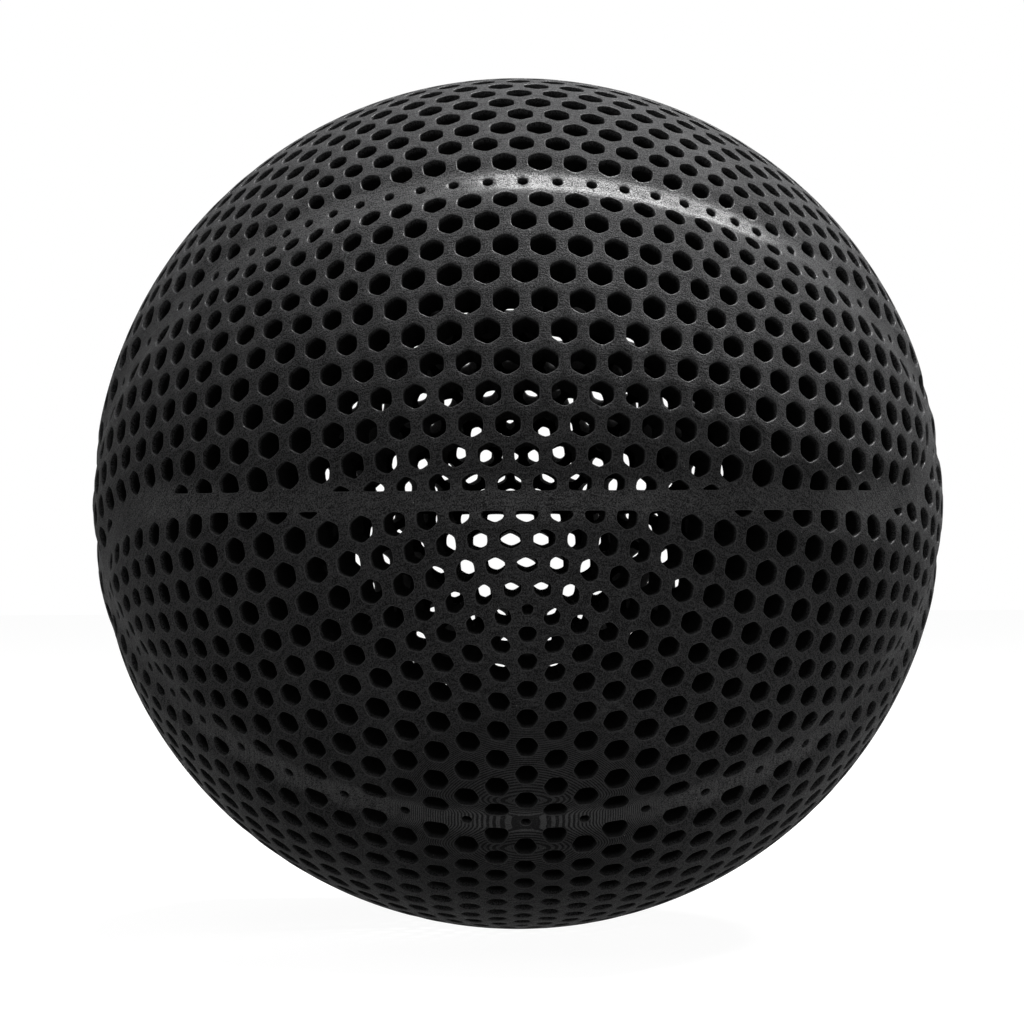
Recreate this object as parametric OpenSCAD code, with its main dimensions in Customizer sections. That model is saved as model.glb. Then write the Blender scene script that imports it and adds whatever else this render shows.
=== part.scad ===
// Airless basketball: a hollow lattice shell of hexagonal cells in eight panels, with solid seam ribs.
// Frame: millimetres, +Z up, -Y to the front, origin at the centre of the ball.
// The two round seams cross on the x axis, each leaning 45 degrees. Between them the third seam
// runs straight across the front, top, back and bottom, and turns near the ends of the x axis.
// One quarter is built with the round seams in the planes z = 0 and y = 0, then turned into place.

/* [Ball] */
// Diameter over the panels
ball_diameter = 239; // [200:1:260]
// Thickness of the lattice wall
wall = 10; // [4:0.5:12]

/* [Lattice] */
// Cells along one edge of the icosahedron that sets out the lattice
cells_per_edge = 16; // [12:1:18]
// Width of the strut between two cells
strut = 3; // [2:0.1:4]
// Opening width below which a cell's hole is round instead of six-sided
round_below = 6.3; // [3:0.1:8]
// Width across flats of the small holes on the round seams
seam_hole = 2.6; // [1.5:0.1:3.5]

/* [Seams] */
// Width of the solid rib along each seam
rib_width = 5.2; // [4:0.1:8]
// Depth of the seam valley below the panels
seam_depth = 1.2; // [0.4:0.1:2.5]
// Width of the seam valley, rib included
valley_width = 19; // [12:0.5:28]
// Angle from the crossing of the round seams at which the third seam starts to turn
turn_start = 36; // [30:1:42]

/* [Hidden] */
$fn = 96;
ball_radius = ball_diameter / 2;
inner_radius = ball_radius - wall;
rib_radius = ball_radius - seam_depth;
reach = 1.3 * ball_radius;
spare = 2;
rib_angle = asin(rib_width / 2 / ball_radius);
sliver_angle = 0.3;
// Turns the spheres of a rib so that their start line falls between two holes
ball_turn = 2.2;
// The valley's side is a straight line in section, from the panel down to the edge of the rib
valley_edge = ball_radius * cos(asin(valley_width / 2 / ball_radius));
rib_edge = rib_radius * cos(rib_angle);
valley_slope = (valley_width / 2 - rib_radius * sin(rib_angle)) / (valley_edge - rib_edge);
valley_bottom = rib_edge - rib_radius * sin(rib_angle) / valley_slope;
valley_side = (reach - valley_bottom) * valley_slope;
turn_centre = atan(tan(turn_start) / cos(45));
turn_radius = asin(sin(turn_centre) * sin(45));
golden = (1 + sqrt(5)) / 2;
// Corners of the icosahedron around the quarter y > 0, z > 0
corner_mid = [0, 1, golden];
corner_top_right = [1, golden, 0];
corner_top_left = [-1, golden, 0];
corner_right = [golden, 0, 1];
corner_left = [-golden, 0, 1];
corner_right_under = [golden, 0, -1];
corner_left_under = [-golden, 0, -1];
corner_front = [0, -1, golden];
full_faces = [
  [corner_mid, corner_top_right, corner_top_left],
  [corner_mid, corner_right, corner_top_right],
  [corner_mid, corner_top_left, corner_left]
];
split_faces = [
  [corner_top_right, corner_right, corner_right_under],
  [corner_top_left, corner_left_under, corner_left],
  [corner_mid, corner_front, corner_right],
  [corner_mid, corner_left, corner_front]
];
// Each edge is given as a face whose first two corners are its ends
inner_edges = [
  [corner_mid, corner_top_right, corner_top_left],
  [corner_mid, corner_top_left, corner_left],
  [corner_top_right, corner_right, corner_mid],
  [corner_top_left, corner_left, corner_mid],
  [corner_mid, corner_right, corner_top_right],
  [corner_mid, corner_left, corner_top_left],
  [corner_mid, corner_front, corner_right]
];
ring_edge = [corner_top_right, corner_top_left, corner_mid];
cross_edge = [corner_right, corner_right_under, corner_top_right];
cross_edge_left = [corner_left, corner_left_under, corner_top_left];
middle_edge = [corner_mid, corner_front, corner_right];
// Steps from a cell's centre to its six corners, in thirds of a cell
corner_steps = [[2, -1, -1], [1, 1, -2], [-1, 2, -1], [-2, 1, 1], [-1, -1, 2], [1, -2, 1]];
on_plane = 0.001;
black = [0.13, 0.13, 0.14];
turn_to_front = 135;

function unit(v) = v / norm(v);
function face_point(face, share) = face[0] * share[0] + face[1] * share[1] + face[2] * share[2];
function mirrored(v, normal) = v - 2 * (v * normal) * normal;
function folded(share) = [share[0] + share[2], share[1] + share[2], -share[2]];
function cell_corner(face, share) =
  share[2] >= -on_plane
    ? unit(face_point(face, share))
    : mirrored(unit(face_point(face, folded(share))), unit(cross(face[0], face[1])));
// A cell is its centre direction and the directions of its corners
function cell(face, share) = [
  unit(face_point(face, share)),
  [for (step = corner_steps) cell_corner(face, share + step / 3)]
];
function face_cells(face) = [
  for (i = [1:cells_per_edge - 2]) for (j = [1:cells_per_edge - 1 - i])
    cell(face, [i, j, cells_per_edge - i - j])
];
function edge_cells(face) = [
  for (i = [1:cells_per_edge - 1]) cell(face, [i, cells_per_edge - i, 0])
];
function corner_cell() = let (
  centre = unit(corner_mid),
  faces = [
    [corner_top_right, corner_top_left], [corner_top_left, corner_left],
    [corner_left, corner_front], [corner_front, corner_right], [corner_right, corner_top_right]
  ]
) [
  centre,
  [for (f = faces) unit(corner_mid * (cells_per_edge - 2 / 3) + (f[0] + f[1]) / 3)]
];
all_cells = concat(
  [corner_cell()],
  [for (f = full_faces) each face_cells(f)],
  [for (f = split_faces) each face_cells(f)],
  [for (f = inner_edges) each edge_cells(f)]
);
panel_cells = [for (c = all_cells) if (c[0][1] > on_plane && c[0][2] > on_plane) c];
// Directions of the small holes on each round seam
pole_cells = concat(edge_cells(cross_edge), edge_cells(cross_edge_left));
ring_spots = concat(
  [unit(corner_top_right), unit(corner_top_left)],
  [for (c = edge_cells(ring_edge)) c[0]],
  [for (f = split_faces) for (c = face_cells(f)) if (abs(c[0][2]) < on_plane) c[0]]
);
pole_spots = [for (c = pole_cells) if (abs(c[0][2]) < on_plane) c[0]];
cross_spots = concat(
  [unit(corner_right), unit(corner_left)],
  [for (c = pole_cells) if (c[0][2] > on_plane) c[0]],
  [for (c = edge_cells(middle_edge)) if (abs(c[0][1]) < on_plane) c[0]],
  [for (f = split_faces) for (c = face_cells(f)) if (abs(c[0][1]) < on_plane) c[0]]
);
// Angle by which a direction lies on the ring rib's side of the turning seam
towards_right = [sin(turn_start), -cos(turn_start) / sqrt(2), -cos(turn_start) / sqrt(2)];
towards_left = [-sin(turn_start), -cos(turn_start) / sqrt(2), -cos(turn_start) / sqrt(2)];
turn_axis_right = [cos(turn_centre), sin(turn_centre), 0];
turn_axis_left = [-cos(turn_centre), 0, sin(turn_centre)];
straight_axis = [0, 1, -1] / sqrt(2);
function side_angle(v) =
  v * towards_right > 0 ? turn_radius - acos(v * turn_axis_right)
  : v * towards_left > 0 ? acos(v * turn_axis_left) - turn_radius
  : 90 - acos(v * straight_axis);
function cell_size(c) = let (
  sizes = [for (k = c[1]) norm(k - c[0]) * ball_radius]
) (sizes * [for (s = sizes) 1]) / len(sizes) * (len(sizes) == 5 ? 2 * cos(36) : 2 * cos(30));
function frame_x(v) = unit(cross(abs(v[0]) < 0.9 ? [1, 0, 0] : [0, 1, 0], v));
function outline(c, share) = let (
  x = frame_x(c[0]),
  y = cross(c[0], x)
) [for (k = c[1]) let (p = k * ball_radius / (k * c[0])) [p * x, p * y] * share];

// Turns +Z to the direction v
module aimed(v) {
  x = frame_x(v);
  y = cross(v, x);
  multmatrix([[x[0], y[0], v[0], 0], [x[1], y[1], v[1], 0], [x[2], y[2], v[2], 0], [0, 0, 0, 1]])
    children();
}

// Straight hole through the wall in the shape of a cell, at a share of its size
module cell_hole(c, share) {
  aimed(c[0])
    translate([0, 0, inner_radius - spare])
      linear_extrude(wall + 2 * spare)
        polygon(outline(c, share));
}

// Round hole through the wall
module round_hole(direction, width) {
  difference() {
    aimed(direction)
      cylinder(d = width, h = ball_radius + spare);
    sphere(inner_radius - spare);
  }
}

// All of the ball within an angle of a direction
module cap(direction, angle) {
  aimed(direction)
    rotate_extrude()
      polygon([
        [0, 0],
        [reach * sin(angle), reach * cos(angle)],
        [reach * sin(angle), reach],
        [0, reach]
      ]);
}

// Half of space on the side that a direction points to
module half_space(direction) {
  aimed(direction)
    translate([-reach, -reach, 0])
      cube([2 * reach, 2 * reach, 2 * reach]);
}

// Valley along the great circle square to a direction
module valley(direction) {
  aimed(direction)
    rotate_extrude()
      polygon([[valley_bottom, 0], [reach, valley_side], [reach, -valley_side]]);
}

module straight_zone() {
  difference() {
    translate([-reach, 0, 0])
      cube([2 * reach, reach, reach]);
    half_space(towards_right);
    half_space(towards_left);
  }
}

// Part of the quarter y > 0, z > 0 on the ring rib's side of the turning seam
module ring_side() {
  intersection() {
    half_space(towards_right);
    cap(turn_axis_right, turn_radius - rib_angle);
  }
  intersection() {
    straight_zone();
    cap(straight_axis, 90 - rib_angle);
  }
  difference() {
    half_space(towards_left);
    cap(turn_axis_left, turn_radius + rib_angle);
  }
}

module quarter_shell(outer) {
  intersection() {
    difference() {
      sphere(outer);
      sphere(inner_radius);
    }
    cap([0, 0, 1], 90 - rib_angle);
    cap([0, 1, 0], 90 - rib_angle);
  }
}

// Quarter of the ball between the round seams, with their valleys cut
module quarter_wall() {
  difference() {
    quarter_shell(ball_radius);
    valley([0, 0, 1]);
    valley([0, 1, 0]);
  }
}

// Cells on one side of the turning seam, without those that its rib would leave as thin slivers
module panel_holes(side) {
  for (c = panel_cells) {
    opening = cell_size(c) - strut;
    if (side * side_angle(c[0]) + asin(opening / 2 / ball_radius) > rib_angle + sliver_angle) {
      if (opening < round_below)
        round_hole(c[0], opening);
      else
        cell_hole(c, opening / cell_size(c));
    }
  }
}

// Panel beside the ring rib
module panel_a() {
  difference() {
    intersection() {
      quarter_wall();
      ring_side();
    }
    panel_holes(1);
  }
}

// Panel beside the cross rib
module panel_b() {
  difference() {
    intersection() {
      quarter_wall();
      rotate(180, [0, 1, 1])
        ring_side();
    }
    panel_holes(-1);
  }
}

// Rib of the turning seam within one quarter
module turn_rib() {
  difference() {
    quarter_shell(rib_radius);
    ring_side();
    rotate(180, [0, 1, 1])
      ring_side();
  }
}

// Small six-sided hole through a rib
module small_hole(direction) {
  aimed(direction)
    translate([0, 0, inner_radius - spare])
      cylinder(d = seam_hole / cos(30), h = wall + 2 * spare, $fn = 6);
}

// Rib of one round seam: the band of the shell within the rib's angle of a plane
module round_rib(normal) {
  difference() {
    aimed(normal) rotate(ball_turn) sphere(rib_radius);
    aimed(normal) rotate(ball_turn) sphere(inner_radius);
    cap(normal, 90 - rib_angle);
    cap(-normal, 90 - rib_angle);
  }
}

module ring_rib() {
  front()
    difference() {
      round_rib([0, 0, 1]);
      for (d = ring_spots)
        small_hole(d);
      for (d = ring_spots)
        small_hole([d[0], -d[1], 0]);
      for (d = pole_spots)
        small_hole(d);
    }
}

// Upper half of the rib that crosses the ring rib at both ends of the x axis
module cross_rib() {
  difference() {
    intersection() {
      round_rib([0, 1, 0]);
      cap([0, 0, 1], 90 - rib_angle);
    }
    for (d = cross_spots)
      small_hole(d);
  }
}

// Places in the ball of what is built in the quarter y > 0, z > 0
module front() {
  color(black) rotate([turn_to_front, 0, 0]) children();
}

module top() {
  color(black) rotate([turn_to_front, 0, 0]) mirror([0, 0, 1]) children();
}

module bottom() {
  color(black) rotate([turn_to_front, 0, 0]) mirror([0, 1, 0]) children();
}

module back() {
  color(black) rotate([turn_to_front + 180, 0, 0]) children();
}

module panel_a_front() {
  front() panel_a();
}

module panel_a_top() {
  top() panel_a();
}

module panel_a_bottom() {
  bottom() panel_a();
}

module panel_a_back() {
  back() panel_a();
}

module panel_b_front() {
  front() panel_b();
}

module panel_b_top() {
  top() panel_b();
}

module panel_b_bottom() {
  bottom() panel_b();
}

module panel_b_back() {
  back() panel_b();
}

module turn_rib_front() {
  front() turn_rib();
}

module turn_rib_top() {
  top() turn_rib();
}

module turn_rib_bottom() {
  bottom() turn_rib();
}

module turn_rib_back() {
  back() turn_rib();
}

module cross_rib_front() {
  front() cross_rib();
}

module cross_rib_back() {
  back() cross_rib();
}

panel_a_front();
panel_a_top();
panel_a_bottom();
panel_a_back();
panel_b_front();
panel_b_top();
panel_b_bottom();
panel_b_back();
ring_rib();
cross_rib_front();
cross_rib_back();
turn_rib_front();
turn_rib_top();
turn_rib_bottom();
turn_rib_back();
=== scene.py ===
import math

import bpy
import numpy as np
from mathutils import Matrix, Vector


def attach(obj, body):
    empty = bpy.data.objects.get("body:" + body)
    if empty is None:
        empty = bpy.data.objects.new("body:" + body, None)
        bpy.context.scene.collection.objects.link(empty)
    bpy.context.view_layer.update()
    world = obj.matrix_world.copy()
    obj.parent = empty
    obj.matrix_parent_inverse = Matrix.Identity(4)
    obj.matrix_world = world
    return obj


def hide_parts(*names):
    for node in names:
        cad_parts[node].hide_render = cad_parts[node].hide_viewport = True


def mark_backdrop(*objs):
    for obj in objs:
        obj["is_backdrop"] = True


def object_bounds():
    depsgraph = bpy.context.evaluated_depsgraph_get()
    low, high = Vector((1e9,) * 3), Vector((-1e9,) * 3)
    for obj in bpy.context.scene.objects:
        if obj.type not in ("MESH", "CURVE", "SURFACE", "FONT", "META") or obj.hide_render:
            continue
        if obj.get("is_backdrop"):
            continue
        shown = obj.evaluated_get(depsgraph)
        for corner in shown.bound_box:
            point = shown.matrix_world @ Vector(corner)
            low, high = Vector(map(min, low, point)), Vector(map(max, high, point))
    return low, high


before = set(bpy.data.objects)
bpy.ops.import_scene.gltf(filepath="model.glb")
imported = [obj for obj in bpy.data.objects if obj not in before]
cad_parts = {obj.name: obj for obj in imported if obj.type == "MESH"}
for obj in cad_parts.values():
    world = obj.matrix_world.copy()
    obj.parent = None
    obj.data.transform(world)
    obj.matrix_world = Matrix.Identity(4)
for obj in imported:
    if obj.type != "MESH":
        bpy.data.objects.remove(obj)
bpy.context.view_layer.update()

bl_info = {
    "name": "Airless basketball",
    "version": (1, 0, 0),
    "blender": (4, 5, 0),
    "location": "View3D > Sidebar > Ball",
    "description": "Builds a hollow lattice basketball with sunken seams, and a plain stage for it",
    "category": "Object",
}

GOLDEN = (1 + math.sqrt(5)) / 2
CELLS_PER_EDGE = 16
POINTS_PER_SIDE = 4
QUARTERS = ("front", "top", "bottom", "back")
COS_45 = math.sqrt(0.5)
# Direction in which the printed layers are stacked
BUILD_AXIS = (0.0, -COS_45, -COS_45)
# A cell whose centre lies nearer to a round seam than this is on it
ON_SEAM = 1e-6

# Holes: how sharp their corners are, per metre, and how the middle and the rim of a cell are found
CELL_SHARPNESS = 2500.0
SEAM_HOLE_SHARPNESS = 5000.0
SEARCH_REACH = 0.0045
SEARCH_POINTS = 37
HALVINGS = 30
# Cells up to this far from a valley have more rows of faces, so that they follow its slope
CELL_REACH = 0.005
VALLEY_ROWS = 3
# Wall: half the flat floor of a seam as a share of the rib, steps round a lip, the distance within which
# points are joined, and the angle from which an edge stays crisp
FLOOR_SHARE = 0.36
LIP_STEPS = 3
WELD = 2e-6
CREASE = math.radians(55)

# Grain: features per metre, what each adds to the mix, and what part of the fine noise and the mix is used
STREAKS_ALONG = 260.0
STREAKS_UP = 2600.0
BLOTCHES = 45.0
FINE_SHARE = 0.62
STREAK_SHARE = 0.58
BLOTCH_SHARE = 0.3
FINE_RANGE = (0.36, 0.64)
GRAIN_RANGE = (0.46, 1.07)
GRAIN_HEIGHT = 0.0002
# Layers: how flat on them the surface is where rings begin and where they are full, and their contrast
RING_RANGE = (0.94, 0.968)
RING_PALE = 0.45
RING_DARK = -0.65
# Dust: places for a speck per metre, how large a speck is in its place, and the share of places left bare
SPECK_PLACES = 420.0
SPECK_RADIUS = 0.07
BARE_SHARE = 0.82
# Roughness of the dark grain, of the pale grain and inside the holes
DARK_ROUGHNESS = 0.62
PALE_ROUGHNESS = 0.5
HOLE_ROUGHNESS = 0.85
# Holes: painted highlight and shine of the lips, and the share of the wall over which painted shade darkens
# it
PAINTED_LIP_HIGHLIGHT = 0.6
LIP_SHINE = 0.9
SHADE_DEPTH = 0.2
# Shine: distances from a seam and turns from the eye between which it fades, and how it follows the grain
SEAM_FADE = (0.0025, 0.007)
EDGE_FADE = (0.38, 0.62)
SHINY_GRAIN = (0.15, 0.75)
LEAST_SHINE = 0.15


class BallSizes(bpy.types.PropertyGroup):
    """Sizes of the lattice shell."""

    ball_diameter: bpy.props.FloatProperty(
        name="Ball diameter", description="Diameter over the panels", default=0.239, unit="LENGTH"
    )
    wall: bpy.props.FloatProperty(
        name="Wall", description="Thickness of the lattice wall", default=0.01, unit="LENGTH"
    )
    strut: bpy.props.FloatProperty(
        name="Strut", description="Width of the strut between two cells", default=0.003, unit="LENGTH"
    )
    lip: bpy.props.FloatProperty(
        name="Lip", description="Radius of the rounded edge of each hole", default=0.0003, unit="LENGTH"
    )
    seam_hole: bpy.props.FloatProperty(
        name="Seam hole",
        description="Width of the small holes on the round seams",
        default=0.0026,
        unit="LENGTH",
    )
    rib_width: bpy.props.FloatProperty(
        name="Rib width", description="Width of the solid rib along each seam", default=0.0052, unit="LENGTH"
    )
    seam_depth: bpy.props.FloatProperty(
        name="Seam depth", description="Depth of a seam below the panels", default=0.0012, unit="LENGTH"
    )
    valley_width: bpy.props.FloatProperty(
        name="Valley width", description="Width of the hollow along each seam", default=0.021, unit="LENGTH"
    )
    turn_start: bpy.props.FloatProperty(
        name="Turn start",
        description="Angle from the crossing of the round seams at which the third seam starts to turn",
        default=math.radians(36),
        subtype="ANGLE",
    )
    smallest_opening: bpy.props.FloatProperty(
        name="Smallest opening",
        description="A cell that a rib leaves narrower than this stays closed",
        default=0.0007,
        unit="LENGTH",
    )


class BallFinish(bpy.types.PropertyGroup):
    """Colours and surface of the printed rubber."""

    rubber: bpy.props.FloatVectorProperty(
        name="Rubber",
        description="Colour of the rubber",
        default=(0.009, 0.009, 0.0094),
        subtype="COLOR",
        size=3,
    )
    # Also the colour of the painted highlight on the lips of the holes
    pale_grain_and_lip_highlight: bpy.props.FloatVectorProperty(
        name="Pale grain",
        description="Colour of the paler grain in the rubber",
        default=(0.053, 0.053, 0.054),
        subtype="COLOR",
        size=3,
    )
    dust: bpy.props.FloatVectorProperty(
        name="Dust",
        description="Colour of the dust specks",
        default=(0.16, 0.16, 0.155),
        subtype="COLOR",
        size=3,
    )
    # Painted shade: the dark colour of the hole walls deep down and of the whole inner surface
    painted_hole_shade: bpy.props.FloatVectorProperty(
        name="Painted hole shade",
        description="Colour inside the holes",
        default=(0.003, 0.003, 0.003),
        subtype="COLOR",
        size=3,
    )
    layer: bpy.props.FloatProperty(
        name="Layer", description="Height of one printed layer", default=0.00013, unit="LENGTH"
    )


class StageLook(bpy.types.PropertyGroup):
    """Floor and lights."""

    floor: bpy.props.FloatVectorProperty(
        name="Floor", description="Colour of the floor", default=(0.14, 0.14, 0.14), subtype="COLOR", size=3
    )
    overhead: bpy.props.FloatProperty(
        name="Overhead", description="Power of the overhead light", default=65.0
    )
    front: bpy.props.FloatProperty(name="Front", description="Power of the front fill light", default=13.0)
    left: bpy.props.FloatProperty(
        name="Left", description="Power of the upper left fill light", default=4.5
    )
    room: bpy.props.FloatProperty(
        name="Room", description="Strength of the light from all round", default=0.17
    )


# Lattice in the frame where the round seams lie in the planes z = 0 and y = 0


def unit(v):
    """Vectors scaled to length 1."""
    return v / np.linalg.norm(v, axis=-1, keepdims=True)


def lattice_cells():
    """Cell centres with the directions of their corners in order, for cells of 6 and then of 5 sides."""
    tips = []
    for a in (-1, 1):
        for b in (-GOLDEN, GOLDEN):
            tips += [(0, a, b), (a, b, 0), (b, 0, a)]
    tips = np.array(tips, dtype=float)
    near = np.abs(np.linalg.norm(tips[:, None] - tips[None], axis=2) - 2) < 1e-6
    sheets = [
        (i, j, k)
        for i in range(12)
        for j in range(i + 1, 12)
        for k in range(j + 1, 12)
        if near[i, j] and near[j, k] and near[i, k]
    ]
    n = CELLS_PER_EDGE
    points, triangles, seen = [], [], {}

    def point(sheet, i, j):
        p = (tips[sheet[0]] * i + tips[sheet[1]] * j + tips[sheet[2]] * (n - i - j)) / n
        key = tuple(np.round(p, 6) + 0.0)
        if key not in seen:
            seen[key] = len(points)
            points.append(p)
        return seen[key]

    for sheet in sheets:
        for i in range(n):
            for j in range(n - i):
                right, up = point(sheet, i + 1, j), point(sheet, i, j + 1)
                triangles.append((point(sheet, i, j), right, up))
                if i + j < n - 1:
                    triangles.append((point(sheet, i + 1, j + 1), right, up))
    points = np.array(points)
    corners = unit(points[np.array(triangles)].mean(axis=1))
    centres = unit(points)
    around = [[] for _ in points]
    for t, triangle in enumerate(triangles):
        for p in triangle:
            around[p].append(t)
    sixes, fives = ([], []), ([], [])
    for p, ring in enumerate(around):
        x, y = tangents(centres[p])
        spread = corners[ring]
        order = np.argsort(np.arctan2(spread @ y, spread @ x))
        kind = sixes if len(ring) == 6 else fives
        kind[0].append(centres[p])
        kind[1].append(spread[order])
    return [(np.array(a), np.array(b)) for a, b in (sixes, fives)]


def tangents(v):
    """Two directions square to v and to each other, right-handed with it."""
    helper = np.where(np.abs(v[..., :1]) < 0.9, np.array([1.0, 0, 0]), np.array([0, 1.0, 0]))
    x = unit(np.cross(helper, v))
    return x, np.cross(v, x)


def seam_angles(v, turn_start):
    """Signed angles of directions from the ring seam, the cross seam and the turning seam."""
    x, y, z = v[..., 0], np.abs(v[..., 1]), np.abs(v[..., 2])
    centre = math.atan(math.tan(turn_start) / COS_45)
    radius = math.asin(math.sin(centre) * COS_45)
    lean = math.cos(turn_start) * (y + z) * COS_45
    right = radius - np.arccos(np.clip(math.cos(centre) * x + math.sin(centre) * y, -1, 1))
    left = np.arccos(np.clip(-math.cos(centre) * x + math.sin(centre) * z, -1, 1)) - radius
    straight = np.arcsin(np.clip((y - z) * COS_45, -1, 1))
    turning = np.where(
        x * math.sin(turn_start) > lean, right, np.where(-x * math.sin(turn_start) > lean, left, straight)
    )
    return np.arcsin(np.clip(v[..., 2], -1, 1)), np.arcsin(np.clip(v[..., 1], -1, 1)), turning


def piece_names(centres, turn_start):
    """Name of the piece that each cell belongs to."""
    names = []
    turning = seam_angles(centres, turn_start)[2]
    for (x, y, z), side in zip(centres, turning):
        if abs(z) < ON_SEAM:
            names.append("ring_seam")
        elif abs(y) < ON_SEAM:
            names.append("cross_seam_front" if z > 0 else "cross_seam_back")
        else:
            quarter = QUARTERS[(y < 0) * 2 + (z < 0)]
            names.append("panel_%s_%s_lattice" % ("a" if side > 0 else "b", quarter))
    return np.array(names)


def soft_edge(p, normals, reaches, sharpness):
    """How far points lie outside the rounded polygon within all lines, and the outward direction there."""
    over = np.einsum("msi,mpi->mps", normals, p) - reaches[:, None, :]
    top = over.max(axis=2, keepdims=True)
    weight = np.exp(sharpness * (over - top))
    total = weight.sum(axis=2, keepdims=True)
    out = np.einsum("mps,msi->mpi", weight / total, normals)
    return (top + np.log(total) / sharpness)[..., 0], unit(out)


def cell_skin(centres, corners, sizes):
    """Outer skin of cells with one number of sides: lists of points, faces and point values."""
    radius = sizes.ball_diameter / 2
    count, sides = corners.shape[:2]
    right, up = tangents(centres)

    def flat(v):
        v = v / np.einsum("mpi,mi->mp", v, centres)[..., None] * radius
        return np.stack([np.einsum("mpi,mi->mp", v, right), np.einsum("mpi,mi->mp", v, up)], axis=2)

    share = (np.arange(POINTS_PER_SIDE) / POINTS_PER_SIDE)[None, None, :, None]
    edge = corners[:, :, None] * (1 - share) + np.roll(corners, -1, axis=1)[:, :, None] * share
    edge = unit(edge.reshape(count, sides * POINTS_PER_SIDE, 3))
    corner = flat(corners)
    along = unit(np.roll(corner, -1, axis=1) - corner)
    normals = np.stack([along[..., 1], -along[..., 0]], axis=2)
    half = np.einsum("msi,msi->ms", normals, corner)
    reaches = half - sizes.strut / 2 + sizes.lip

    angles = seam_angles(centres, sizes.turn_start)
    on_seam = np.minimum(np.abs(angles[0]), np.abs(angles[1])) < ON_SEAM
    reaches[on_seam] = sizes.seam_hole / 2 + sizes.lip
    step = 1e-5
    ahead = [seam_angles(unit(centres + step * axis), sizes.turn_start) for axis in (right, up)]
    clips, limits = [], []
    for seam in range(3):
        side = np.where(angles[seam] >= 0, 1.0, -1.0)
        slope = np.stack([(ahead[k][seam] - angles[seam]) / step for k in range(2)], axis=1)
        slope = slope / np.maximum(np.linalg.norm(slope, axis=1, keepdims=True), 1e-9)
        clips.append(-side[:, None] * slope)
        limits.append(np.abs(angles[seam]) * radius - sizes.rib_width / 2 + sizes.lip)
    limits = np.where(on_seam[:, None], radius, np.stack(limits, axis=1))
    normals = np.concatenate([normals, np.stack(clips, axis=1)], axis=1)
    reaches = np.concatenate([reaches, limits], axis=1)
    sharpness = np.where(on_seam, SEAM_HOLE_SHARPNESS, CELL_SHARPNESS)[:, None, None]

    # The hole is drawn from the point of the cell that lies deepest inside all its lines
    grid = np.linspace(-SEARCH_REACH, SEARCH_REACH, SEARCH_POINTS)
    spots = np.stack(np.meshgrid(grid, grid), axis=2).reshape(1, -1, 2)
    depth = soft_edge(np.repeat(spots, count, axis=0), normals, reaches, sharpness)[0]
    deepest = spots[0][depth.argmin(axis=1)]
    deepest[limits.min(axis=1) > SEARCH_REACH] = 0
    open_cell = -depth.min(axis=1) > sizes.lip + sizes.smallest_opening / 2
    deepest[~open_cell] = 0
    border = flat(edge)
    ray = border - deepest[:, None]
    low, high = np.zeros(ray.shape[:2]), np.ones(ray.shape[:2])
    for _ in range(HALVINGS):
        middle = (low + high) / 2
        outside = soft_edge(deepest[:, None] + ray * middle[..., None], normals, reaches, sharpness)[0] > 0
        high = np.where(outside, middle, high)
        low = np.where(outside, low, middle)
    rim = deepest[:, None] + ray * low[..., None]
    out = soft_edge(rim, normals, reaches, sharpness)[1]
    out = out[..., :1] * right[:, None] + out[..., 1:] * up[:, None]

    points, faces, holes, outs, axes = [], [], [], [], []
    near = np.min(np.abs(np.stack(angles)), axis=0) * radius < sizes.valley_width / 2 + CELL_REACH
    for c in range(count):
        end = rim[c] if open_cell[c] else np.zeros_like(rim[c])
        rows = VALLEY_ROWS if near[c] else 1
        rings = [edge[c]]
        for r in range(1, rows + 1):
            part = border[c] + (end - border[c]) * r / rows
            rings.append(unit(centres[c] * radius + part[:, :1] * right[c] + part[:, 1:] * up[c]))
        loop = len(edge[c])
        start = len(points)
        closed = not open_cell[c]
        for r, ring in enumerate(rings[:-1] if closed else rings):
            points.extend(ring)
            is_rim = not closed and r == rows
            holes.extend([is_rim] * loop)
            outs.extend(out[c] if is_rim else np.zeros((loop, 3)))
            axes.extend([centres[c]] * loop if is_rim else ring)
        for r in range(rows - closed):
            first = start + r * loop
            for k in range(loop):
                after = (k + 1) % loop
                faces.append((first + k, first + after, first + loop + after, first + loop + k))
        if closed:
            first = start + (rows - 1) * loop
            points.append(centres[c])
            holes.append(False)
            outs.append(np.zeros(3))
            axes.append(centres[c])
            for k in range(loop):
                faces.append((first + k, first + (k + 1) % loop, len(points) - 1))
    return points, faces, holes, outs, axes


def turned(v):
    """Directions in the lattice's frame turned to the row's frame."""
    x, y, z = v[:, 0], v[:, 1], v[:, 2]
    return np.stack([x, -(y + z) * COS_45, (y - z) * COS_45], axis=1)


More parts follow.
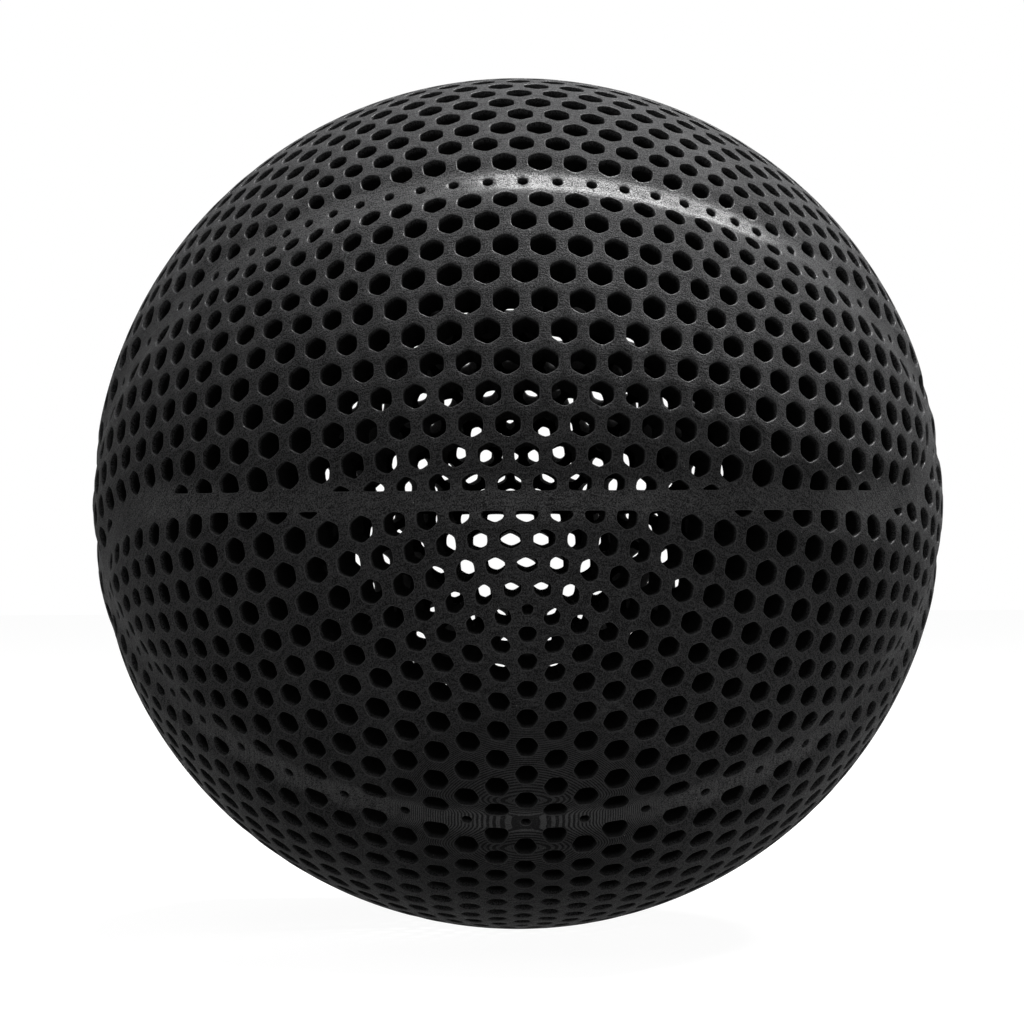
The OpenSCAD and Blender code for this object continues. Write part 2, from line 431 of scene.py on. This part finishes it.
def skin_mesh(name, cells, sizes):
    """Mesh of the outer skin of one piece's cells, on the ball's sphere, with the values its tree reads."""
    points, faces, holes, outs, axes = [], [], [], [], []
    for centres, corners in cells:
        if len(centres) == 0:
            continue
        made = cell_skin(centres, corners, sizes)
        faces += [tuple(k + len(points) for k in f) for f in made[1]]
        points += made[0]
        holes += made[2]
        outs += made[3]
        axes += made[4]
    points, holes, outs, axes = np.array(points), np.array(holes), np.array(outs), np.array(axes)
    first, same = np.unique(np.round(points, 7), axis=0, return_index=True, return_inverse=True)[1:]
    same = same.ravel()
    mesh = bpy.data.meshes.new(name)
    kept = points[first]
    seam = np.min(np.abs(np.stack(seam_angles(kept, sizes.turn_start))), axis=0) * sizes.ball_diameter / 2
    mesh.from_pydata(turned(kept) * sizes.ball_diameter / 2, [], [tuple(same[list(f)]) for f in faces])
    mesh.attributes.new("seam", "FLOAT", "POINT").data.foreach_set("value", seam.astype(np.float32))
    mesh.attributes.new("hole", "BOOLEAN", "POINT").data.foreach_set("value", holes[first])
    for key, value in (("outward", outs), ("axis", axes)):
        value = turned(value[first]).astype(np.float32).ravel()
        mesh.attributes.new(key, "FLOAT_VECTOR", "POINT").data.foreach_set("vector", value)
    return mesh


# Node helpers


def add(tree, kind, inputs=None, **settings):
    """Adds a node, sets its options, and fills inputs with values or with other nodes' outputs."""
    made = tree.nodes.new(kind)
    for key, value in settings.items():
        setattr(made, key, value)
    for key, value in (inputs or {}).items():
        if isinstance(value, bpy.types.NodeSocket):
            tree.links.new(value, made.inputs[key])
        else:
            made.inputs[key].default_value = value
    return made


def value_of(tree, operation, first, second=0.0):
    """Output of a math node."""
    return add(tree, "ShaderNodeMath", {0: first, 1: second}, operation=operation).outputs[0]


def vector_of(tree, operation, first, second):
    """Output of a vector math node."""
    key = "Scale" if operation == "SCALE" else 1
    return add(tree, "ShaderNodeVectorMath", {0: first, key: second}, operation=operation).outputs["Vector"]


def ramp(tree, value, start, end, low=0.0, high=1.0, kind="LINEAR"):
    """Output that goes from low to high while the value goes from start to end."""
    inputs = {"Value": value, "From Min": start, "From Max": end, "To Min": low, "To Max": high}
    return add(tree, "ShaderNodeMapRange", inputs, interpolation_type=kind).outputs["Result"]


def blended(tree, share, first, second):
    """Colour that goes from the first to the second with the share."""
    return add(tree, "ShaderNodeMix", {0: share, 6: first, 7: second}, data_type="RGBA").outputs[2]


def lattice_wall_tree():
    """Tree that sinks the seams of a skin, rounds the edge of every hole and gives the lattice its wall."""
    tree = bpy.data.node_groups.new("lattice wall", "GeometryNodeTree")
    tree.interface.new_socket("Skin", in_out="INPUT", socket_type="NodeSocketGeometry")
    for name in ("Wall", "Lip", "Rib width", "Seam depth", "Valley width"):
        tree.interface.new_socket(name, in_out="INPUT", socket_type="NodeSocketFloat").subtype = "DISTANCE"
    tree.interface.new_socket("Material", in_out="INPUT", socket_type="NodeSocketMaterial")
    tree.interface.new_socket("Wall", in_out="OUTPUT", socket_type="NodeSocketGeometry")
    given = tree.nodes.new("NodeGroupInput").outputs

    def stored(name, kind):
        read = add(tree, "GeometryNodeInputNamedAttribute", {"Name": name}, data_type=kind)
        return read.outputs["Attribute"]

    def marked(geometry, name, value, selection=True, kind="FLOAT"):
        inputs = {"Geometry": geometry, "Selection": selection, "Name": name, "Value": value}
        store = add(tree, "GeometryNodeStoreNamedAttribute", inputs, data_type=kind, domain="POINT")
        return store.outputs["Geometry"]

    def moved(geometry, **to):
        return add(tree, "GeometryNodeSetPosition", {"Geometry": geometry, **to}).outputs["Geometry"]

    def extruded(mesh, edges):
        inputs = {"Mesh": mesh, "Selection": edges, "Offset Scale": 0.0}
        return add(tree, "GeometryNodeExtrudeMesh", inputs, mode="EDGES").outputs

    place = tree.nodes.new("GeometryNodeInputPosition").outputs[0]
    axis, outward = stored("axis", "FLOAT_VECTOR"), stored("outward", "FLOAT_VECTOR")
    kept = marked(given["Skin"], "skin", place, kind="FLOAT_VECTOR")
    straight_in = vector_of(tree, "SCALE", axis, value_of(tree, "MULTIPLY", given["Wall"], -1.0))
    lip_in = vector_of(tree, "SCALE", outward, value_of(tree, "MULTIPLY", given["Lip"], -1.0))
    shift = vector_of(tree, "ADD", straight_in, lip_in)
    inner_place = vector_of(tree, "ADD", stored("skin", "FLOAT_VECTOR"), shift)

    # Seams sink from the panels to the rib along a smooth slope
    floor_edge = value_of(tree, "MULTIPLY", given["Rib width"], FLOOR_SHARE)
    valley_edge = value_of(tree, "MULTIPLY", given["Valley width"], 0.5)
    lowest = value_of(tree, "MULTIPLY", given["Seam depth"], -1.0)
    slope = ramp(tree, stored("seam", "FLOAT"), floor_edge, valley_edge, lowest, 0.0, "SMOOTHSTEP")
    sunk = moved(kept, Offset=vector_of(tree, "SCALE", axis, slope))

    # The border between two pieces runs straight through the wall
    hole = stored("hole", "BOOLEAN")
    neighbours = tree.nodes.new("GeometryNodeInputMeshEdgeNeighbors").outputs["Face Count"]
    open_edge = value_of(tree, "LESS_THAN", neighbours, 1.5)
    border = add(tree, "FunctionNodeBooleanMath", {0: open_edge, 1: hole}, operation="NIMPLY").outputs[0]
    grown = extruded(sunk, border)
    mesh = moved(grown["Mesh"], Selection=grown["Top"], Position=inner_place)

    # Each hole's edge is turned over in steps, then goes down through the wall
    edge = hole
    for k in range(LIP_STEPS):
        before, after = math.pi / 2 * k / LIP_STEPS, math.pi / 2 * (k + 1) / LIP_STEPS
        grown = extruded(mesh, edge)
        edge = grown["Top"]
        in_step = value_of(tree, "MULTIPLY", given["Lip"], math.sin(before) - math.sin(after))
        down_step = value_of(tree, "MULTIPLY", given["Lip"], math.cos(after) - math.cos(before))
        inwards = vector_of(tree, "SCALE", outward, in_step)
        down = vector_of(tree, "SCALE", axis, down_step)
        mesh = moved(grown["Mesh"], Selection=edge, Offset=vector_of(tree, "ADD", inwards, down))
        mesh = marked(mesh, "lip", math.sin(2 * after), edge)
    grown = extruded(mesh, edge)
    outer = moved(grown["Mesh"], Selection=grown["Top"], Position=inner_place)
    # The bottoms of the hole walls and the inner surface are marked inside, where the material paints shade
    outer = marked(outer, "inside", 1.0, grown["Top"])

    # The inner surface is the skin again, smaller and facing inwards
    inner = marked(moved(kept, Position=inner_place), "inside", 1.0)
    inner = add(tree, "GeometryNodeFlipFaces", {"Mesh": inner}).outputs["Mesh"]
    both = tree.nodes.new("GeometryNodeJoinGeometry")
    tree.links.new(outer, both.inputs[0])
    tree.links.new(inner, both.inputs[0])
    joined = {"Geometry": both.outputs[0], "Distance": WELD}
    whole = add(tree, "GeometryNodeMergeByDistance", joined).outputs[0]
    rounded = {0: whole, "Shade Smooth": True}
    smooth = add(tree, "GeometryNodeSetShadeSmooth", rounded, domain="FACE").outputs[0]
    bend = tree.nodes.new("GeometryNodeInputMeshEdgeAngle").outputs["Unsigned Angle"]
    sharp = {0: smooth, "Selection": value_of(tree, "GREATER_THAN", bend, CREASE), "Shade Smooth": False}
    creased = add(tree, "GeometryNodeSetShadeSmooth", sharp, domain="EDGE").outputs[0]
    real = add(tree, "GeometryNodeRealizeInstances", {0: creased}).outputs[0]
    painted = add(tree, "GeometryNodeSetMaterial", {0: real, "Material": given["Material"]}).outputs[0]
    tree.links.new(painted, tree.nodes.new("NodeGroupOutput").inputs[0])
    return tree


def shared_tree():
    """The wall tree, built once."""
    return bpy.data.node_groups.get("lattice wall") or lattice_wall_tree()


def lattice_piece(name, cells, sizes, material):
    """Plain mesh object of one piece of the shell."""
    piece = bpy.data.objects.new(name, skin_mesh(name + "_skin", cells, sizes))
    bpy.context.collection.objects.link(piece)
    tree = shared_tree()
    modifier = piece.modifiers.new("wall", "NODES")
    modifier.node_group = tree
    values = {
        "Wall": sizes.wall,
        "Lip": sizes.lip,
        "Rib width": sizes.rib_width,
        "Seam depth": sizes.seam_depth,
        "Valley width": sizes.valley_width,
        "Material": material,
    }
    for socket in tree.interface.items_tree:
        if socket.in_out == "INPUT" and socket.name in values:
            modifier[socket.identifier] = values[socket.name]
    graph = bpy.context.evaluated_depsgraph_get()
    made = bpy.data.meshes.new_from_object(piece.evaluated_get(graph))
    skin = piece.data
    piece.modifiers.remove(modifier)
    piece.data = made
    bpy.data.meshes.remove(skin)
    made.name = name
    for spare in ("hole", "outward", "axis", "skin"):
        if spare in made.attributes:
            made.attributes.remove(made.attributes[spare])
    if len(made.polygons) == 0:
        raise RuntimeError("%s came out empty" % name)
    return piece


# Materials


def printed_grain():
    """Group with the grain, the printed layers and the dust of the rubber."""
    group = bpy.data.node_groups.get("printed grain")
    if group:
        return group
    group = bpy.data.node_groups.new("printed grain", "ShaderNodeTree")
    for name, default in (("Grain size", 0.0004), ("Layer", 0.0001), ("Dust", 0.5)):
        socket = group.interface.new_socket(name, in_out="INPUT", socket_type="NodeSocketFloat")
        socket.default_value = default
    for name in ("Grain", "Height", "Roughness", "Dust"):
        group.interface.new_socket(name, in_out="OUTPUT", socket_type="NodeSocketFloat")
    given = group.nodes.new("NodeGroupInput").outputs
    place = group.nodes.new("ShaderNodeTexCoord").outputs["Object"]

    def noise(vector, scale, detail):
        inputs = {"Vector": vector, "Scale": scale, "Detail": detail}
        return add(group, "ShaderNodeTexNoise", inputs).outputs[0]

    def along(axis):
        dot = add(group, "ShaderNodeVectorMath", {0: place, 1: axis}, operation="DOT_PRODUCT")
        return dot.outputs["Value"]

    # Streaks run along the layers: long across the build direction, thin along it
    up = along(BUILD_AXIS)
    sideways = value_of(group, "MULTIPLY", along((1.0, 0.0, 0.0)), STREAKS_ALONG)
    across = value_of(group, "MULTIPLY", along((0.0, COS_45, -COS_45)), STREAKS_ALONG)
    thin = value_of(group, "MULTIPLY", up, STREAKS_UP)
    stretched = add(group, "ShaderNodeCombineXYZ", {0: sideways, 1: across, 2: thin}).outputs[0]
    streak = noise(stretched, 1.0, 1.0)

    fine = noise(place, value_of(group, "DIVIDE", 1.0, given["Grain size"]), 2.0)
    blotch = noise(place, BLOTCHES, 3.0)
    mixed = value_of(group, "MULTIPLY", ramp(group, fine, *FINE_RANGE), FINE_SHARE)
    for part, share in ((streak, STREAK_SHARE), (blotch, BLOTCH_SHARE)):
        mixed = value_of(group, "ADD", mixed, value_of(group, "MULTIPLY", part, share))
    grain = ramp(group, mixed, *GRAIN_RANGE)

    # Layers show as rings only where the surface lies nearly flat on them
    length = add(group, "ShaderNodeVectorMath", {0: place}, operation="LENGTH").outputs["Value"]
    flatness = value_of(group, "ABSOLUTE", value_of(group, "DIVIDE", up, length))
    shown = ramp(group, flatness, *RING_RANGE, kind="SMOOTHSTEP")
    phase = value_of(group, "FRACT", value_of(group, "DIVIDE", up, given["Layer"]))
    stripe = ramp(group, value_of(group, "GREATER_THAN", phase, 0.5), 0.0, 1.0, RING_PALE, RING_DARK)
    height = value_of(group, "ADD", grain, value_of(group, "MULTIPLY", stripe, shown))
    lined = ramp(group, height, 0.0, 1.0)

    inputs = {"Vector": place, "Scale": SPECK_PLACES, "Randomness": 1.0}
    spots = add(group, "ShaderNodeTexVoronoi", inputs).outputs
    speck = value_of(group, "LESS_THAN", spots["Distance"], SPECK_RADIUS)
    chosen = add(group, "ShaderNodeSeparateColor", {0: spots["Color"]}).outputs[0]
    some = value_of(group, "GREATER_THAN", chosen, BARE_SHARE)
    dust = value_of(group, "MULTIPLY", value_of(group, "MULTIPLY", speck, some), given["Dust"])

    rough = ramp(group, grain, 0.0, 1.0, DARK_ROUGHNESS, PALE_ROUGHNESS)
    end = group.nodes.new("NodeGroupOutput").inputs
    for name, socket in (("Grain", lined), ("Height", height), ("Roughness", rough), ("Dust", dust)):
        group.links.new(socket, end[name])
    return group


def rubber(name, finish, grain_size, dust, bump):
    """Matte black printed rubber."""
    material = bpy.data.materials.get(name)
    if material:
        return material
    material = bpy.data.materials.new(name)
    material.use_nodes = True
    tree = material.node_tree
    tree.nodes.clear()

    def drawn(key):
        return add(tree, "ShaderNodeAttribute", attribute_name=key).outputs["Fac"]

    lip, inside, seam = drawn("lip"), drawn("inside"), drawn("seam")
    inputs = {"Grain size": grain_size, "Layer": finish.layer, "Dust": dust}
    grain = add(tree, "ShaderNodeGroup", inputs, node_tree=printed_grain()).outputs
    pale_grain_and_lip_highlight = (*finish.pale_grain_and_lip_highlight, 1)
    colour = blended(tree, grain["Grain"], (*finish.rubber, 1), pale_grain_and_lip_highlight)
    colour = blended(tree, grain["Dust"], colour, (*finish.dust, 1))

    # The lips of the holes are painted paler as a highlight, and the walls behind them get painted shade,
    # darker and duller inwards
    # Painted highlight: the lips are blended towards the pale grain colour
    colour = blended(tree, value_of(tree, "MULTIPLY", lip, PAINTED_LIP_HIGHLIGHT), colour, pale_grain_and_lip_highlight)
    # Painted shade: the walls darken towards the bottom of each hole and the inner surface is dark all over
    painted_hole_shade = ramp(tree, inside, 0.0, SHADE_DEPTH, kind="SMOOTHSTEP")
    colour = blended(tree, painted_hole_shade, colour, (*finish.painted_hole_shade, 1))
    roughness = ramp(tree, painted_hole_shade, 0.0, 1.0, grain["Roughness"], HOLE_ROUGHNESS)

    # Along the seams and on the lips the surface is smooth enough to shine a little, but not edge-on
    near = ramp(tree, seam, *SEAM_FADE, 1.0, 0.0, "SMOOTHSTEP")
    sheen = ramp(tree, grain["Grain"], *SHINY_GRAIN, LEAST_SHINE, 1.0)
    seam_shine = value_of(tree, "MULTIPLY", near, sheen)
    smooth = value_of(tree, "MAXIMUM", seam_shine, value_of(tree, "MULTIPLY", lip, LIP_SHINE))
    facing = tree.nodes.new("ShaderNodeLayerWeight").outputs["Facing"]
    aslant = ramp(tree, facing, *EDGE_FADE, 1.0, 0.0)
    outside = value_of(tree, "SUBTRACT", 1.0, painted_hole_shade)
    coat = value_of(tree, "MULTIPLY", smooth, value_of(tree, "MULTIPLY", aslant, outside))

    relief = {"Strength": bump, "Distance": GRAIN_HEIGHT, "Height": grain["Height"]}
    surface = add(
        tree,
        "ShaderNodeBsdfPrincipled",
        {
            "Base Color": colour,
            "Roughness": roughness,
            "Normal": add(tree, "ShaderNodeBump", relief).outputs[0],
            "Specular IOR Level": 0.02,
            "Coat Weight": coat,
            "Coat Roughness": 0.29,
            "Coat IOR": 1.19,
        },
    )
    end = tree.nodes.new("ShaderNodeOutputMaterial")
    tree.links.new(surface.outputs[0], end.inputs["Surface"])
    return material


def seen_plainly(tree):
    """1 for rays of the camera, of reflections and through glass, and 0 for light."""
    path = tree.nodes.new("ShaderNodeLightPath").outputs
    mirrored = value_of(tree, "MAXIMUM", path["Is Glossy Ray"], path["Is Transmission Ray"])
    return value_of(tree, "MAXIMUM", path["Is Camera Ray"], mirrored)


# Stage


def paper_floor(colour, height):
    """Wide floor that the camera sees as nearly white, with the ball's shadow on it."""
    far = 4.0
    paper_white = 0.95
    mesh = bpy.data.meshes.new("floor")
    corners = [(-far, -far, height), (far, -far, height), (far, far, height), (-far, far, height)]
    mesh.from_pydata(corners, [], [(0, 1, 2, 3)])
    paper = bpy.data.materials.new("white_paper")
    paper.use_nodes = True
    tree = paper.node_tree
    tree.nodes.clear()
    plain = add(tree, "ShaderNodeBsdfDiffuse", {"Color": (*colour, 1)}).outputs[0]
    glow = value_of(tree, "MULTIPLY", seen_plainly(tree), paper_white)
    lift = add(tree, "ShaderNodeEmission", {"Color": (1, 1, 1, 1), "Strength": glow}).outputs[0]
    pale = add(tree, "ShaderNodeAddShader", {0: plain, 1: lift}).outputs[0]
    tree.links.new(pale, tree.nodes.new("ShaderNodeOutputMaterial").inputs["Surface"])
    mesh.materials.append(paper)
    floor = bpy.data.objects.new("floor", mesh)
    bpy.context.collection.objects.link(floor)
    return floor


def studio_world(strength):
    """Soft light from all round, which the camera and reflections see as plain white."""
    world = bpy.data.worlds.new("studio")
    world.use_nodes = True
    tree = world.node_tree
    tree.nodes.clear()
    lit, white = (
        add(tree, "ShaderNodeBackground", {"Color": (1, 1, 1, 1), "Strength": power}).outputs[0]
        for power in (strength, 1.0)
    )
    shown = add(tree, "ShaderNodeMixShader", {0: seen_plainly(tree), 1: lit, 2: white}).outputs[0]
    tree.links.new(shown, tree.nodes.new("ShaderNodeOutputWorld").inputs["Surface"])
    return world


def softbox(name, power, length, width, place, run):
    """Lamp that faces the ball, with its long side along a direction."""
    lamp = bpy.data.lights.new(name, "AREA")
    lamp.shape = "RECTANGLE"
    lamp.energy = power
    lamp.size = length
    lamp.size_y = width
    back = Vector(place).normalized()
    side = (Vector(run) - back * back.dot(Vector(run))).normalized()
    light = bpy.data.objects.new(name, lamp)
    facing = Matrix((side, back.cross(side), back)).transposed()
    light.matrix_world = Matrix.Translation(place) @ facing.to_4x4()
    bpy.context.collection.objects.link(light)


def front_camera():
    """Camera square to the front, turned by the small angles measured in the photograph."""
    distance = 1.0859
    turn = Vector((-0.0063, 0.0202, 0.0048))
    lens = bpy.data.cameras.new("camera")
    lens.lens = 135.1
    lens.sensor_width = 36
    lens.shift_x = -0.0056
    lens.shift_y = -0.0082
    square = Matrix(((1, 0, 0), (0, 0, 1), (0, -1, 0)))
    facing = (Matrix.Rotation(turn.length, 3, turn.normalized()) @ square).transposed()
    camera = bpy.data.objects.new("camera", lens)
    camera.matrix_world = Matrix.Translation(facing @ Vector((0, 0, distance))) @ facing.to_4x4()
    bpy.context.collection.objects.link(camera)
    return camera


# Operators


def cells_by_piece(sizes):
    """For each piece, its cells as pairs of centres and corners."""
    pieces = {}
    for centres, corners in lattice_cells():
        names = piece_names(centres, sizes.turn_start)
        for name in np.unique(names):
            mine = names == name
            pieces.setdefault(str(name), []).append((centres[mine], corners[mine]))
    return pieces


class BALL_OT_panels(bpy.types.Operator):
    """Build the eight panels of open cells"""

    bl_idname = "ball.panels"
    bl_label = "Build panels"

    def execute(self, context):
        sizes, finish = context.scene.ball_sizes, context.scene.ball_finish
        material = rubber("panel_rubber", finish, grain_size=0.00034, dust=0.8, bump=1.0)
        cells = cells_by_piece(sizes)
        for side in "ab":
            for quarter in QUARTERS:
                name = "panel_%s_%s_lattice" % (side, quarter)
                piece = lattice_piece(name, cells[name], sizes, material)
                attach(piece, "root")
                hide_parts("panel_%s_%s" % (side, quarter), "turn_rib_%s" % quarter)
        return {"FINISHED"}


class BALL_OT_seams(bpy.types.Operator):
    """Build the two round seams with their small holes"""

    bl_idname = "ball.seams"
    bl_label = "Build round seams"

    def execute(self, context):
        sizes, finish = context.scene.ball_sizes, context.scene.ball_finish
        material = rubber("rib_rubber", finish, grain_size=0.0003, dust=0.6, bump=0.7)
        cells = cells_by_piece(sizes)
        for name, node in (
            ("ring_seam", "ring_rib"),
            ("cross_seam_front", "cross_rib_front"),
            ("cross_seam_back", "cross_rib_back"),
        ):
            piece = lattice_piece(name, cells[name], sizes, material)
            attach(piece, "root")
            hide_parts(node)
        return {"FINISHED"}


class BALL_OT_stage(bpy.types.Operator):
    """Build the floor, the lights and the camera"""

    bl_idname = "ball.stage"
    bl_label = "Build stage"

    def execute(self, context):
        scene, look = context.scene, context.scene.stage_look
        scene.view_settings.view_transform = "Standard"
        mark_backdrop(paper_floor(look.floor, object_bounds()[0][2]))
        scene.world = studio_world(look.room)
        softbox(
            "overhead_strip",
            look.overhead,
            length=1.15,
            width=0.08,
            place=(0.36, 0.222, 1.118),
            run=(0.68, 0.36, -0.36),
        )
        softbox("front_fill", look.front, length=2.0, width=1.0, place=(0.5, -2.2, 0.42), run=(1, 0.23, 0))
        softbox("left_fill", look.left, length=0.9, width=0.9, place=(-0.55, -0.25, 1.3), run=(1, 0, 0))
        scene.camera = front_camera()
        return {"FINISHED"}


class BALL_PT_sidebar(bpy.types.Panel):
    """Sizes, finish and steps of the ball"""

    bl_idname = "BALL_PT_sidebar"
    bl_label = "Airless basketball"
    bl_space_type = "VIEW_3D"
    bl_region_type = "UI"
    bl_category = "Ball"

    def draw(self, context):
        for group in (context.scene.ball_sizes, context.scene.ball_finish, context.scene.stage_look):
            for key in group.__annotations__:
                self.layout.prop(group, key)
        for step in STEPS:
            self.layout.operator(step.bl_idname)


STEPS = (BALL_OT_panels, BALL_OT_seams, BALL_OT_stage)
GROUPS = (("ball_sizes", BallSizes), ("ball_finish", BallFinish), ("stage_look", StageLook))


def register():
    """Registers the classes and the scene's values."""
    for key, group in GROUPS:
        bpy.utils.register_class(group)
        setattr(bpy.types.Scene, key, bpy.props.PointerProperty(type=group))
    for made in STEPS + (BALL_PT_sidebar,):
        bpy.utils.register_class(made)


def unregister():
    """Takes back what register added."""
    for made in STEPS + (BALL_PT_sidebar,):
        bpy.utils.unregister_class(made)
    for key, group in GROUPS:
        delattr(bpy.types.Scene, key)
        bpy.utils.unregister_class(group)


def main():
    """Builds the ball and its stage."""
    register()
    bpy.ops.ball.panels()
    bpy.ops.ball.seams()
    bpy.ops.ball.stage()


if __name__ == "__main__":
    main()
